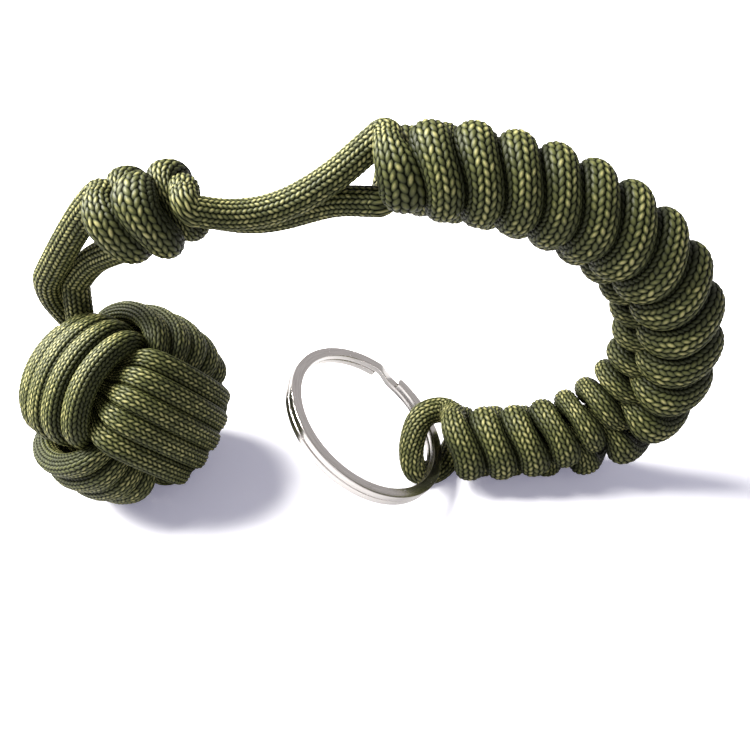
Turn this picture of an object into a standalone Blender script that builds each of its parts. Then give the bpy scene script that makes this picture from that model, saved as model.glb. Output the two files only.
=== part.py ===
"""Monkey fist key fob: a cord-wound ball, a stopper knot, a snake-knot sinnet and a split ring.

Two strands of one doubled cord make everything but the ball and the ring. Lengths below are in
millimetres; MM turns them into Blender's metres. +Z is up, the arch of the sinnet stands in the
XZ plane, and the object rests on Z = 0.
"""
import bpy
import bmesh
import math
import numpy as np

MM = 0.001
MIDDLE = np.array([-2.49, -0.11, 0.0])    # this point of the drawing becomes the frame's origin
GAP = 0.3                      # between cut ends that meet face to face

# the cord, as it is drawn tight
CORD = 3.6                     # free stretches
FREE_SIDES = 12
WOUND_SIDES = 6
WOUND_FULLNESS = 1.06          # a six-sided section is drawn this much fuller than its ellipse
FREE_STEP = 1.8                # between the points of a free stretch
END_SLIM = 0.95                # a wound strand's ends, against the free cord they meet
EASED_STEP = 1.0               # between the points that are eased apart in the stopper knot
EASED_GAP = 0.45
EASED_HELD = 4                 # points held at each end, to keep its direction
EASED_ROUNDS = 400
EASED_PUSH = 0.3               # most that a point moves in one round,
EASED_LEVEL = 0.25             # and the shares by which it is drawn level with its neighbours
EASED_BACK = 0.004             # and back to its drawn place

# the snake knots: two strands in right-handed coils side by side, each hooked through the other
LOBE_POINTS = 10               # points in one turn
COIL_OFFSET = 2.4              # from the knot's middle to the middle of one strand's turns
COIL_REACH = 3.9               # half width of a turn
COIL_HEIGHT = 4.5              # half height of a turn
LOBE_HALF_WIDTH = 2.45         # flattened cord on the outside of a turn
LOBE_HALF_DEPTH = 1.95
HOOK_HALF_WIDTH = 0.85         # squeezed cord where the strands hook each other
HOOK_HALF_DEPTH = 1.05
LOBE_ROOM = 0.25               # left between neighbouring turns,
LEAN_ROOM = 0.5                # and more where their lean brings the two strands together
LOBE_SHARE = 0.9               # how much of the full flattening the outside of a turn reaches
LEAD = 0.22                    # turns over which the cord flattens after its round free ends
TURN_STEP = 0.002              # turns to either side from which a strand's direction is read
HELD_EVERY = 12                # every how many fine points a knot stands in the free cords' way

# the sinnet
ARCH_LINE = [(-2.0, 56.0), (10.5, 55.3), (23.0, 52.0), (34.2, 46.0), (41.9, 37.6), (44.9, 27.6),
             (43.0, 17.3), (36.2, 10.2), (26.5, 7.5), (15.6, 6.9), (11.0, 6.8)]
TURNS_LAID = [(0, 2.2), (2.5, 14.8), (5, 27.5), (9, 50.7), (14, 78.8), (19, 105.5)]
SINNET_HURRY = 0.22            # how far a turn runs ahead of an even climb at its sides,
SINNET_LEAN = 0.75             # and how far its ends are pulled apart, which slants the lobes
FACING_START = 24.0            # degrees from the front towards the outside of the arch
FACING_END = 140.0
TWIST_START = 0.55             # where the facing changes, as shares of the arch
TWIST_SPAN = 0.35
NECK_SIZE = 1.0                # the coils' size where the necks come in,
RING_SIZE = 0.95               # and where the ring hangs
SLIM_START = 0.3               # where that changes, as shares of the arch
SLIM_SPAN = 0.6
FIRST_SLIM = 0.26              # how much smaller still the first turn is,
FIRST_GROWTH = (0.6, 1.2)      # the turn where it starts to grow, and over how many turns
FIRST_TURN = {1: 0.34, -1: 0.36}          # where the two strands come in from the neck
LAST_TURN = {1: 18.36, -1: 18.72}         # and where they leave for the bight that holds the ring
BEND_KNOTS = ((5.5, 7.5), (12.5, 14.5))   # turns that give when the arch opens or closes

# the stopper knot: a snake knot of two turns
STOPPER_LINE = [(-37.0, 48.2), (-33.4, 49.2), (-29.8, 49.9), (-27.0, 50.1), (-24.6, 50.0),
                (-22.6, 49.9)]
STOPPER_BEHIND = 0.6           # how far behind the arch's plane it lies
STOPPER_PITCH = 5.2
STOPPER_FACING = 5.0
STOPPER_SIZE = 0.86            # the coils' size at its middle turn,
STOPPER_TAPER = 0.14           # how much less one turn away from there,
STOPPER_MIDST = 1.2            # and that middle turn
STOPPER_HURRY = 0.3
STOPPER_LEAN = (0.30, 0.28)    # at its start, and how much more a turn on,
STOPPER_FADE = (1.6, 0.5)      # the turn from which the lean fades, and over how many turns
STOPPER_FIRST = {1: 0.28, -1: 0.36}
STOPPER_LAST = {1: 2.3, -1: 2.3}
STOPPER_SLIM = 0.95            # its cord's half sizes, against the sinnet's

# way-points of the free stretches: from the fist to the stopper knot, and on to the sinnet
FIST_NECK_FRONT = [(-47.9, 6.9, 23.6), (-49.6, 8.3, 26.4), (-51.4, 8.6, 30.2), (-51.0, 7.0, 34.2),
                   (-49.2, 5.4, 37.8), (-46.8, 4.2, 41.2), (-43.6, 3.4, 45.2), (-40.2, 2.8, 49.6)]
FIST_NECK_BACK = [(-47.4, 6.8, 31.8), (-46.8, 7.2, 35.4), (-45.0, 7.2, 38.6), (-42.2, 6.2, 41.0),
                  (-38.4, 3.6, 42.0)]
NECK_FRONT = [(-21.3, -2.0, 49.4), (-17.9, -1.2, 48.9), (-14.5, -1.0, 49.2), (-11.6, -1.2, 50.4),
              (-8.7, -1.2, 52.3), (-5.9, -0.8, 54.0), (-3.5, 0.2, 55.4), (-1.9, 1.4, 57.6)]
NECK_BACK = [(-21.2, 2.9, 46.9), (-17.9, 2.6, 46.3), (-14.5, 2.5, 46.6), (-11.4, 2.6, 48.0),
             (-8.5, 2.5, 50.0), (-5.8, 2.3, 51.6), (-3.6, 0.8, 52.2), (-1.4, -1.4, 52.0)]
STRAIGHT = 2.0                 # run of a free cord straight on from the wound one it meets

# the bight that holds the ring, between the ends of the sinnet's strands
BIGHT = [(12.0, 4.6, 10.3), (9.8, 4.4, 10.2), (7.8, 3.0, 9.4), (6.7, 1.0, 7.6), (6.3, -1.0, 5.3),
         (7.2, -2.5, 2.7), (10.0, -1.6, 1.3), (13.2, 1.8, 1.5)]
BIGHT_STEP = 1.4
BIGHT_HALF_WIDTH = 2.0
BIGHT_HALF_DEPTH = 1.3
BIGHT_LEAD = 3.0               # over which it flattens from its round ends

# where the necks give: the turning points of the ball and of the stopper knot
FIST_HINGE = (-47.0, 6.3, 34.8)
NECK_HINGE = (-11.5, 1.2, 49.4)

# the ball
BALL = 19.0                    # steel core
BALL_SEGMENTS = 32
PASSES = 5                     # strands side by side in each of the three bands
PASS_PITCH = 3.45
PASS_SQUEEZE = 0.62            # how much closer the strands lie where they run under a band
OVER_RADIUS = 14.8             # of a strand's middle, over the other band
UNDER_RADIUS = 10.7            # and under it
OVER_HALF = (1.5, 1.7)         # half width and half depth of the cord
UNDER_HALF = (0.8, 1.0)
DIVE = 3.5                     # how steeply a strand dives at the band's edge
STEP_START = 0.52              # where in each loop it steps to the next place,
STEP_SPAN = 0.46               # and over how much of the loop
BAND_TRIMS = ((22, 20), (12, 22), (20, 25))   # degrees left off at each band's two ends
LOOP_POINTS = 24
FIST_CENTRE = (-40.6, 0.4, 15.67)
FIST_TOP = (0.421, 0.706, 0.570)       # the three faces of the fist that the photo shows
FIST_LEFT = (-0.497, -0.346, 0.795)
FIST_FRONT = (0.759, -0.618, 0.205)

# the split ring
RING_OUTER = 15.0
WIRE_WIDTH = 1.8               # across the flat face
WIRE_DEPTH = 1.1               # one turn
TURN_GAP = 0.05
JOGGLE = math.radians(16)      # the arc in which the wire steps up a turn
WIRE_START = math.radians(75)  # from the bight round to the wire's lower end
WIRE_SHORT = math.radians(3)   # how much of the second turn is left off at its end
WIRE_STEPS = 120
SHARP = math.radians(30)       # edges bent more than this stay sharp
RING_AT = (10.2, 1.2, 5.2)     # middle of the wire inside the bight
RING_FACE = (0.568, -0.075, 0.820)
RING_OUT = (0.813, 0.188, -0.552)      # from the ring's middle to the bight

CORD_GREEN = (0.115, 0.125, 0.045)


def unit(v):
    v = np.asarray(v, float)
    return v / np.linalg.norm(v)


def metres(point):
    """A point of the drawing in Blender's metres."""
    return (np.asarray(point, float) - MIDDLE) * MM


def eased(x):
    """0 below 0, 1 above 1, a smooth step between."""
    x = np.clip(x, 0.0, 1.0)
    return x * x * (3 - 2 * x)


def smooth_curve(points, count):
    """A natural cubic spline through points, read at count even steps of length."""
    p = np.asarray(points, float)
    n = len(p)
    knot = np.concatenate([[0], np.cumsum(np.linalg.norm(np.diff(p, axis=0), axis=1))])
    h = np.diff(knot)
    left = np.zeros((n, n))
    right = np.zeros(p.shape)
    left[0, 0] = left[-1, -1] = 1
    for i in range(1, n - 1):
        left[i, i - 1:i + 2] = h[i - 1], 2 * (h[i - 1] + h[i]), h[i]
        right[i] = 6 * ((p[i + 1] - p[i]) / h[i] - (p[i] - p[i - 1]) / h[i - 1])
    bend = np.linalg.solve(left, right)
    s = np.linspace(0, knot[-1], count * 8)
    k = np.clip(np.searchsorted(knot, s, side="right") - 1, 0, n - 2)
    u = (s - knot[k])[:, None]
    v = (knot[k + 1] - s)[:, None]
    hk = h[k][:, None]
    fine = (bend[k] * v ** 3 + bend[k + 1] * u ** 3) / (6 * hk)
    fine += (p[k] / hk - bend[k] * hk / 6) * v + (p[k + 1] / hk - bend[k + 1] * hk / 6) * u
    run = np.concatenate([[0], np.cumsum(np.linalg.norm(np.diff(fine, axis=0), axis=1))])
    even = np.linspace(0, run[-1], count)
    return np.stack([np.interp(even, run, fine[:, i]) for i in range(p.shape[1])], 1)


FRONT = np.array([0.0, -1.0, 0.0])
FINE = 1201                    # points of a curve that is measured or read along its length


def rows_unit(vectors):
    return vectors / np.linalg.norm(vectors, axis=1)[:, None]


def run_length(points):
    return np.concatenate([[0], np.cumsum(np.linalg.norm(np.diff(points, axis=0), axis=1))])


class MiddleLine:
    """The middle line of a snake knot, drawn in the upright plane Y = behind."""

    def __init__(self, points, behind):
        self.points = smooth_curve(points, FINE)
        self.behind = behind
        self.run = run_length(self.points)
        self.length = self.run[-1]
        self.heading = np.unwrap(np.arctan2(*np.gradient(self.points, axis=0).T[::-1]))
        self.curve = -np.gradient(self.heading, self.run)

    def at(self, t):
        """Point, direction of travel, outward normal and curvature at distances t along it."""
        x = np.interp(t, self.run, self.points[:, 0])
        z = np.interp(t, self.run, self.points[:, 1])
        heading = np.interp(t, self.run, self.heading)
        none = np.zeros_like(t)
        along = np.stack([np.cos(heading), none, np.sin(heading)], -1)
        outward = np.stack([-np.sin(heading), none, np.cos(heading)], -1)
        beyond = np.minimum(t, 0) + np.maximum(t - self.length, 0)
        point = np.stack([x, none + self.behind, z], -1) + beyond[:, None] * along
        return point, along, outward, np.interp(t, self.run, self.curve)


ARCH = MiddleLine(ARCH_LINE, 0.0)
STOPPER = MiddleLine(STOPPER_LINE, STOPPER_BEHIND)
LAID = smooth_curve(TURNS_LAID, FINE)
LAID_PITCH = np.gradient(LAID[:, 1], LAID[:, 0])


def coil(line, side, turn, laid, facing, size, hurry, lean):
    """Middle of one strand of a snake knot at each turn, with the direction of the knot there and
    how much the line's bend stretches the pitch there.

    laid is how far along the line each turn lies, facing the angle in degrees of its outer side
    from the front towards the line's outward normal. The second strand (side -1) is the first
    turned half round the knot's middle line.
    """
    angle = math.tau * turn
    t = laid + size * (hurry * np.sin(angle) + lean * np.sin(2 * angle))
    centre, along, outward, bend = line.at(t)
    cosine, sine = np.cos(np.radians(facing))[..., None], np.sin(np.radians(facing))[..., None]
    wide = cosine * FRONT + sine * outward
    high = cosine * outward - sine * FRONT
    across = side * (size * (COIL_OFFSET - COIL_REACH * np.cos(angle)))[:, None] * wide
    offset = across + side * (size * COIL_HEIGHT * np.sin(angle))[:, None] * high
    return centre + offset, along, 1 + bend * (offset * outward).sum(-1)


def sinnet_middle(side, turn):
    """The sinnet's coil, and its pitch at each turn."""
    laid = np.interp(turn, LAID[:, 0], LAID[:, 1])
    share = laid / ARCH.length
    twist = eased((share - TWIST_START) / TWIST_SPAN)
    size = NECK_SIZE + (RING_SIZE - NECK_SIZE) * eased((share - SLIM_START) / SLIM_SPAN)
    size = size * (1 - FIRST_SLIM * (1 - eased((turn - FIRST_GROWTH[0]) / FIRST_GROWTH[1])))
    facing = FACING_START + (FACING_END - FACING_START) * twist
    made = coil(ARCH, side, turn, laid, facing, size, SINNET_HURRY, SINNET_LEAN)
    return *made, np.interp(turn, LAID[:, 0], LAID_PITCH)


def stopper_middle(side, turn):
    """The stopper knot's coil, and its pitch at each turn."""
    fade = 1 - eased((turn - STOPPER_FADE[0]) / STOPPER_FADE[1])
    lean = fade * (STOPPER_LEAN[0] + STOPPER_LEAN[1] * turn)
    size = STOPPER_SIZE - STOPPER_TAPER * (turn - STOPPER_MIDST) ** 2
    made = coil(STOPPER, side, turn, STOPPER_PITCH * turn, STOPPER_FACING, size, STOPPER_HURRY, lean)
    return *made, STOPPER_PITCH


def wound_strand(middle, side, first, last, ends, slim=1.0, per_turn=LOBE_POINTS):
    """One strand of a snake knot from turn first to turn last: middle, direction of travel,
    direction of the cord's flat width, half width and half depth. ends are the turns where the
    whole strand meets its free cords, and slim makes it thinner."""
    turn = np.linspace(first, last, int(round((last - first) * per_turn)) + 1)
    points, along, stretch, pitch = middle(side, turn)
    travel = rows_unit(middle(side, turn + TURN_STEP)[0] - middle(side, turn - TURN_STEP)[0])
    lobe = eased((0.5 - 0.5 * np.cos(math.tau * turn)) * LOBE_SHARE)
    level = np.sqrt(1 - (travel * along).sum(1) ** 2)
    room = pitch * stretch * level * (1 + lobe) / 4 - LOBE_ROOM
    room = room - LEAN_ROOM * (1 - lobe) * np.sin(2 * math.tau * turn) ** 2
    width = slim * (HOOK_HALF_WIDTH + (LOBE_HALF_WIDTH - HOOK_HALF_WIDTH) * lobe)
    width = np.minimum(width, room)
    depth = slim * (HOOK_HALF_DEPTH + (LOBE_HALF_DEPTH - HOOK_HALF_DEPTH) * lobe)
    flat = eased(np.minimum(turn - ends[0], ends[1] - turn) / LEAD)
    width = CORD / 2 * END_SLIM * (1 - flat) + width * flat
    depth = CORD / 2 * END_SLIM * (1 - flat) + depth * flat
    return points, travel, along, width, depth


def fist_axes():
    """The directions of the fist's top, left and front faces, made square to each other."""
    top = unit(FIST_TOP)
    left = unit(np.asarray(FIST_LEFT) - np.dot(FIST_LEFT, top) * top)
    front = np.cross(left, top)
    return top, left, front * np.sign(front @ np.array(FIST_FRONT))


def fist_band(over, under, across, corner, sense, side, trim, per_loop):
    """One band of the fist: four and a half turns that pass over the next band on the faces
    along over, and under the last band on the faces along under.

    corner is the angle in degrees where the band starts, sense its direction, side the side of
    across where its first loop lies, and trim the angle left off at its two ends. Each loop
    steps to its neighbour's place while it is out of sight under the other band.
    """
    turns = PASSES - 0.5
    first, last = corner + sense * trim[0], corner + sense * (360 * turns - trim[1])
    degrees = np.linspace(first, last, int(round(abs(last - first) / 360 * per_loop)) + 1)
    done = np.abs(degrees - corner) / 360
    place = np.clip(np.floor(done) + eased((done % 1 - STEP_START) / STEP_SPAN), 0, PASSES - 1)
    angle = np.radians(degrees)
    outer = 0.5 + 0.5 * np.tanh(DIVE * np.cos(2 * angle))
    radius = UNDER_RADIUS + (OVER_RADIUS - UNDER_RADIUS) * outer
    pitch = PASS_PITCH * (PASS_SQUEEZE + (1 - PASS_SQUEEZE) * outer)
    shift = side * ((PASSES - 1) / 2 - place) * pitch
    flat = np.sqrt(radius ** 2 - shift ** 2)[:, None]
    points = flat * (np.cos(angle)[:, None] * over + np.sin(angle)[:, None] * under)
    points = points + shift[:, None] * across
    width = UNDER_HALF[0] + (OVER_HALF[0] - UNDER_HALF[0]) * outer
    depth = UNDER_HALF[1] + (OVER_HALF[1] - UNDER_HALF[1]) * outer
    travel = rows_unit(np.gradient(points, axis=0))
    return points, travel, np.broadcast_to(across, points.shape), width, depth


def fist_winding(per_loop=LOOP_POINTS):
    """The fist's winding as one run of cord: the band round the left and right faces first, then
    the one round the front and back, then the one round the top and bottom. They follow each
    other at two opposite corners of the cube that the bands form."""
    top, left, front = fist_axes()
    left_trim, front_trim, top_trim = BAND_TRIMS
    bands = [fist_band(left, top, front, 45, -1, -1, left_trim, per_loop),
             fist_band(front, left, top, -45, 1, -1, front_trim, per_loop),
             fist_band(top, front, left, -45, 1, 1, top_trim, per_loop)]
    points, _, across, width, depth = (np.concatenate(parts) for parts in zip(*bands))
    travel = rows_unit(np.gradient(points, axis=0))
    return points + np.array(FIST_CENTRE), travel, across, width, depth


def ease_apart(ropes, held, gap):
    """Push the points of ropes away from each other until they lie gap apart, keeping each rope
    smooth, near its drawn route and fixed where its points are held."""
    sizes = [len(rope) for rope in ropes]
    points = np.concatenate(ropes)
    drawn = points.copy()
    rope_of = np.repeat(np.arange(len(ropes)), sizes)
    place = np.concatenate([np.arange(size) for size in sizes])
    free = ~np.concatenate(held)[:, None]
    beside = (rope_of[:, None] == rope_of) & (np.abs(place[:, None] - place) * EASED_STEP < 2 * gap)
    for _ in range(EASED_ROUNDS):
        apart = points[:, None] - points
        far = np.linalg.norm(apart, axis=2) + 1e-9
        lack = np.where(beside, 0, np.clip(gap - far, 0, None))
        push = (apart * (lack / far)[..., None]).sum(1) / 4
        points = points + np.clip(push, -EASED_PUSH, EASED_PUSH) * free
        level = np.zeros_like(points)
        level[1:-1] = (points[:-2] + points[2:]) / 2 - points[1:-1]
        points = points + (level * EASED_LEVEL + (drawn - points) * EASED_BACK) * free
    return np.split(points, np.cumsum(sizes)[:-1])


def strand_end(middle, side, turn, way):
    """The two points with which a free cord goes straight on from a strand's cut end: way is 1
    where it goes on past the last turn, -1 where it comes in before the first."""
    near = middle(side, np.array([turn - TURN_STEP, turn, turn + TURN_STEP]))[0]
    travel = unit(near[2] - near[0])
    return [near[1] + way * far * travel for far in (GAP, STRAIGHT)]


def evenly(points, step):
    """A smooth curve through points, read at even steps of about the given length."""
    return smooth_curve(points, int(round(run_length(smooth_curve(points, FINE))[-1] / step)) + 1)


def neck_strands():
    """The free stretches of the front and back strands: from the fist to the stopper knot, and
    from there to the sinnet, eased apart from each other and from the stopper knot."""
    ropes, held = [], []
    for side, fist_neck, neck in ((1, FIST_NECK_FRONT, NECK_FRONT),
                                  (-1, FIST_NECK_BACK, NECK_BACK)):
        into = strand_end(stopper_middle, side, STOPPER_FIRST[side], -1)[::-1]
        leave = strand_end(stopper_middle, side, STOPPER_LAST[side], 1)
        turn = np.linspace(STOPPER_FIRST[side], STOPPER_LAST[side], FINE)
        rope = [evenly(fist_neck + into, EASED_STEP),
                evenly(stopper_middle(side, turn)[0][::HELD_EVERY], EASED_STEP),
                evenly(leave + neck + strand_end(sinnet_middle, side, FIRST_TURN[side], -1)[::-1],
                       EASED_STEP)]
        for part, fixed in zip(rope, (False, True, False)):
            still = np.full(len(part), fixed)
            still[:EASED_HELD] = still[-EASED_HELD:] = True
            held.append(still)
        ropes += [np.concatenate(rope)]
    cuts = np.cumsum([len(still) for still in held])
    eased_ropes = np.concatenate(ease_apart(ropes, held, CORD + EASED_GAP))
    stretches = np.split(eased_ropes, cuts[:-1])
    return [[evenly(stretches[i], FREE_STEP), evenly(stretches[i + 2], FREE_STEP)] for i in (0, 3)]


def ring_bight():
    """The loop from one strand's last turn to the other's, which holds the ring, as a wound cord
    that lies flat against the ring's wire."""
    upper, lower = (strand_end(sinnet_middle, side, LAST_TURN[side], 1) for side in (-1, 1))
    points = evenly(upper + BIGHT + lower[::-1], BIGHT_STEP)
    travel = rows_unit(np.gradient(points, axis=0))
    run = run_length(points)
    flat = eased(np.minimum(run, run[-1] - run) / BIGHT_LEAD)
    width = CORD / 2 * END_SLIM * (1 - flat) + BIGHT_HALF_WIDTH * flat
    depth = CORD / 2 * END_SLIM * (1 - flat) + BIGHT_HALF_DEPTH * flat
    across = np.broadcast_to(ring_frame()[2], points.shape)
    return points, travel, across, width, depth


def material(name, colour, roughness, metallic=0.0):
    made = bpy.data.materials.new(name)
    made.use_nodes = True
    shader = made.node_tree.nodes["Principled BSDF"]
    shader.inputs["Base Color"].default_value = (*colour, 1)
    shader.inputs["Roughness"].default_value = roughness
    shader.inputs["Metallic"].default_value = metallic
    return made


def finish_object(name, data, surface, origin):
    """An object with its origin at origin, where its joint turns."""
    made = bpy.data.objects.new(name, data)
    bpy.context.scene.collection.objects.link(made)
    data.materials.append(surface)
    made.location = metres(origin)
    return made


def finish_mesh(name, shape, surface, origin):
    """An object from a bmesh drawn in millimetres about origin."""
    bmesh.ops.recalc_face_normals(shape, faces=shape.faces[:])
    mesh = bpy.data.meshes.new(name)
    shape.to_mesh(mesh)
    shape.free()
    return finish_object(name, mesh, surface, origin)


def free_cord(name, points, surface, origin):
    """A round cord along points."""
    curve = bpy.data.curves.new(name, "CURVE")
    curve.dimensions = "3D"
    curve.bevel_depth = CORD / 2 * MM
    curve.bevel_resolution = FREE_SIDES // 4 - 1
    curve.use_fill_caps = True
    line = curve.splines.new("POLY")
    line.points.add(len(points) - 1)
    for point, place in zip(line.points, points):
        point.co = (*(place - origin) * MM, 1)
    line.use_smooth = True
    return finish_object(name, curve, surface, origin)


def wound_cord(name, run, surface, origin):
    """A cord pressed flat by its neighbours: six-sided rings of the run's half width and half
    depth, the width along the run's across direction. It is cut flat where it meets the floor."""
    points, travel, across, width, depth = run
    side = rows_unit(across - (across * travel).sum(1)[:, None] * travel)
    out = np.cross(travel, side)
    shape = bmesh.new()
    rings = []
    for i in range(len(points)):
        ring = []
        for corner in range(WOUND_SIDES):
            turn = 2 * math.pi * corner / WOUND_SIDES
            reach = width[i] * math.cos(turn) * side[i] + depth[i] * math.sin(turn) * out[i]
            ring.append(shape.verts.new((points[i] - origin + WOUND_FULLNESS * reach) * MM))
        rings.append(ring)
    for back, ahead in zip(rings, rings[1:]):
        for corner in range(WOUND_SIDES):
            after = (corner + 1) % WOUND_SIDES
            shape.faces.new((back[corner], back[after], ahead[after], ahead[corner]))
    shape.faces.new(rings[0][::-1])
    shape.faces.new(rings[-1])
    whole = shape.verts[:] + shape.edges[:] + shape.faces[:]
    cut = bmesh.ops.bisect_plane(shape, geom=whole, plane_co=(0, 0, -origin[2] * MM),
                                 plane_no=(0, 0, 1), clear_inner=True)
    rim = [part for part in cut["geom_cut"] if isinstance(part, bmesh.types.BMEdge)]
    if rim:
        bmesh.ops.edgenet_fill(shape, edges=rim)
    made = finish_mesh(name, shape, surface, origin)
    made.data.shade_smooth()
    return made


def ring_frame():
    face = unit(RING_FACE)
    out = unit(np.asarray(RING_OUT) - np.dot(RING_OUT, face) * face)
    return face, out, np.cross(face, out)


def split_ring(surface):
    """Two turns of flat wire, one on the other, with a step where the lower becomes the upper."""
    face, out, round_way = ring_frame()
    middle = RING_OUTER - WIRE_WIDTH / 2
    rise = WIRE_DEPTH + TURN_GAP
    shape = bmesh.new()
    rings = []
    for i in range(WIRE_STEPS + 1):
        turned = (4 * math.pi - JOGGLE - WIRE_SHORT) * i / WIRE_STEPS
        level = (eased((turned - 2 * math.pi + JOGGLE) / JOGGLE) - 0.5) * rise
        angle = WIRE_START + turned
        spoke = math.cos(angle) * out + math.sin(angle) * round_way
        ring = []
        for wide, deep in ((-1, -1), (1, -1), (1, 1), (-1, 1)):
            reach = (middle + wide * WIRE_WIDTH / 2) * spoke + (level + deep * WIRE_DEPTH / 2) * face
            ring.append(shape.verts.new((reach - middle * out) * MM))
        rings.append(ring)
    for back, ahead in zip(rings, rings[1:]):
        for corner in range(4):
            after = (corner + 1) % 4
            shape.faces.new((back[corner], back[after], ahead[after], ahead[corner]))
    shape.faces.new(rings[0][::-1])
    shape.faces.new(rings[-1])
    made = finish_mesh("split_ring", shape, surface, np.array(RING_AT))
    made.data.shade_smooth()
    made.data.set_sharp_from_angle(angle=SHARP)
    return made


def core_ball(surface):
    shape = bmesh.new()
    bmesh.ops.create_uvsphere(shape, u_segments=BALL_SEGMENTS, v_segments=BALL_SEGMENTS // 2,
                               radius=BALL / 2 * MM)
    made = finish_mesh("core_ball", shape, surface, np.array(FIST_CENTRE))
    made.data.shade_smooth()
    return made


def least_gap(run, apart):
    """Least clear distance, in millimetres, between stretches of one wound cord whose points lie
    more than apart steps from each other."""
    points, _, _, width, depth = run
    far = np.linalg.norm(points[:, None] - points, axis=2)
    thick = np.minimum(width, depth)
    step = np.abs(np.arange(len(points))[:, None] - np.arange(len(points)))
    return np.where(step > apart, far - thick[:, None] - thick, np.inf).min()


def build():
    for old in list(bpy.data.objects):
        bpy.data.objects.remove(old, do_unlink=True)
    cord = material("olive_cord", CORD_GREEN, 0.85)
    core_steel = material("core_steel", (0.45, 0.45, 0.46), 0.3, 1.0)
    nickel = material("ring_nickel", (0.62, 0.60, 0.58), 0.25, 1.0)

    fist_hinge, neck_hinge = np.array(FIST_HINGE), np.array(NECK_HINGE)
    bend_turns = np.array([sum(pair) / 2 for pair in BEND_KNOTS])
    bend_hinges = ARCH.at(np.interp(bend_turns, LAID[:, 0], LAID[:, 1]))[0]

    core_ball(core_steel)
    winding = fist_winding()
    wound_cord("fist_winding", winding, cord, fist_hinge)
    print("fist winding, least gap to itself: %.2f mm" % least_gap(winding, LOOP_POINTS // 2))

    parts = (("upper", bend_hinges[0]), ("upper_bend", bend_hinges[1]),
             ("middle", bend_hinges[1]), ("lower_bend", MIDDLE), ("lower", MIDDLE))
    margin = GAP / 2 / (math.tau * COIL_HEIGHT)
    for strand, side, stretches in zip(("front", "back"), (1, -1), neck_strands()):
        free_cord("fist_neck_" + strand, stretches[0], cord, neck_hinge)
        free_cord("neck_" + strand, stretches[1], cord, bend_hinges[0])
        ends = STOPPER_FIRST[side], STOPPER_LAST[side]
        run = wound_strand(stopper_middle, side, ends[0] + margin, ends[1] - margin, ends,
                           STOPPER_SLIM)
        wound_cord("stopper_" + strand, run, cord, neck_hinge)
        print("stopper %s, least gap to itself: %.2f mm" % (strand, least_gap(run, LOBE_POINTS // 2)))
        cuts = [FIRST_TURN[side], *BEND_KNOTS[0], *BEND_KNOTS[1], LAST_TURN[side]]
        for (part, hinge), first, last in zip(parts, cuts, cuts[1:]):
            run = wound_strand(sinnet_middle, side, first + margin, last - margin,
                               (cuts[0], cuts[-1]))
            wound_cord("sinnet_" + part + "_" + strand, run, cord, hinge)
            print("sinnet %s %s, least gap to itself: %.2f mm"
                  % (part, strand, least_gap(run, LOBE_POINTS // 2)))
    bight = ring_bight()
    wound_cord("ring_bight", bight, cord, MIDDLE)
    print("ring bight, least gap to itself: %.2f mm" % least_gap(bight, LOBE_POINTS // 2))
    split_ring(nickel)


build()
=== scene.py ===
# %% [markdown]
# # A monkey fist key fob
#
# The real object is one doubled length of olive braided cord. Two strands of it are wound round a
# steel ball, tied into a stopper knot, and worked into a long snake knot whose end loop holds a
# split ring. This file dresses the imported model: each stretch of cord becomes a tube with its
# braid in the mesh, and the ring becomes a wire with softened edges. The steel ball keeps its
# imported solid, because the winding hides it.

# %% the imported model
import math

import bpy
import numpy as np
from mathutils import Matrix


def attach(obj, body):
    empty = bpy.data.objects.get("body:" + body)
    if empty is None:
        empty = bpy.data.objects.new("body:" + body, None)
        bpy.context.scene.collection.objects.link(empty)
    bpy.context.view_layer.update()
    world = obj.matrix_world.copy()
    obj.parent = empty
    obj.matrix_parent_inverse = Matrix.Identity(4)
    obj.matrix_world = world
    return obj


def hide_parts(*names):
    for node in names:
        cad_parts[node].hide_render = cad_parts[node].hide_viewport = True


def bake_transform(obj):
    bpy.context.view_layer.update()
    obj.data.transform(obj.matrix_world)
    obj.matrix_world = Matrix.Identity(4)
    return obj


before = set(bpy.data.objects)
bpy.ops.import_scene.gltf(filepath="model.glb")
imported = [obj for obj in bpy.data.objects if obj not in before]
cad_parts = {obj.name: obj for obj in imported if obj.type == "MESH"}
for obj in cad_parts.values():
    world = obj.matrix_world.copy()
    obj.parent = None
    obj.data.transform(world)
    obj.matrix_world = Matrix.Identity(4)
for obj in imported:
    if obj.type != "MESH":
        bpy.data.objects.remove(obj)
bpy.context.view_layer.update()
print("nodes:", len(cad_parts))

# %% [markdown]
# ## One drawing in millimetres
#
# Every route below is the one that the solids follow, in the same millimetres. A point is moved
# to the model's own origin and into metres in one place only, so nothing has to be fitted later.

# %% millimetres to the model's metres
MM = 0.001
MIDDLE = np.array([-2.49, -0.11, 0.0])


def metres(points):
    """Points of the drawing, less the drawing's middle, in metres."""
    return (np.asarray(points, float) - MIDDLE) * MM


def unit(v):
    """v divided by its own length."""
    v = np.asarray(v, float)
    return v / np.linalg.norm(v)


def rows_unit(vectors):
    """Each row divided by its own length."""
    return vectors / np.linalg.norm(vectors, axis=1)[:, None]


def eased(x):
    """0 below 0, 1 above 1, and three x squared less two x cubed between."""
    x = np.clip(x, 0.0, 1.0)
    return x * x * (3 - 2 * x)


def run_length(points):
    """Length along points, from 0 at the first."""
    return np.concatenate([[0], np.cumsum(np.linalg.norm(np.diff(points, axis=0), axis=1))])


print("the ball's middle lies at", metres((-40.6, 0.4, 15.67)))

# %% [markdown]
# ## The camera
#
# The ring's ellipse and the ball's outline in the photograph fix the view: the camera looks along
# +Y and 38 degrees down, from about 125 mm above and in front of the arch, with a lens of 33.6 mm
# on a 36 mm frame.

# %% the camera at the photograph's angle
CAMERA_AT = (0.0, -88.51, 90.9)
LOOKS_DOWN = 38.0

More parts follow.
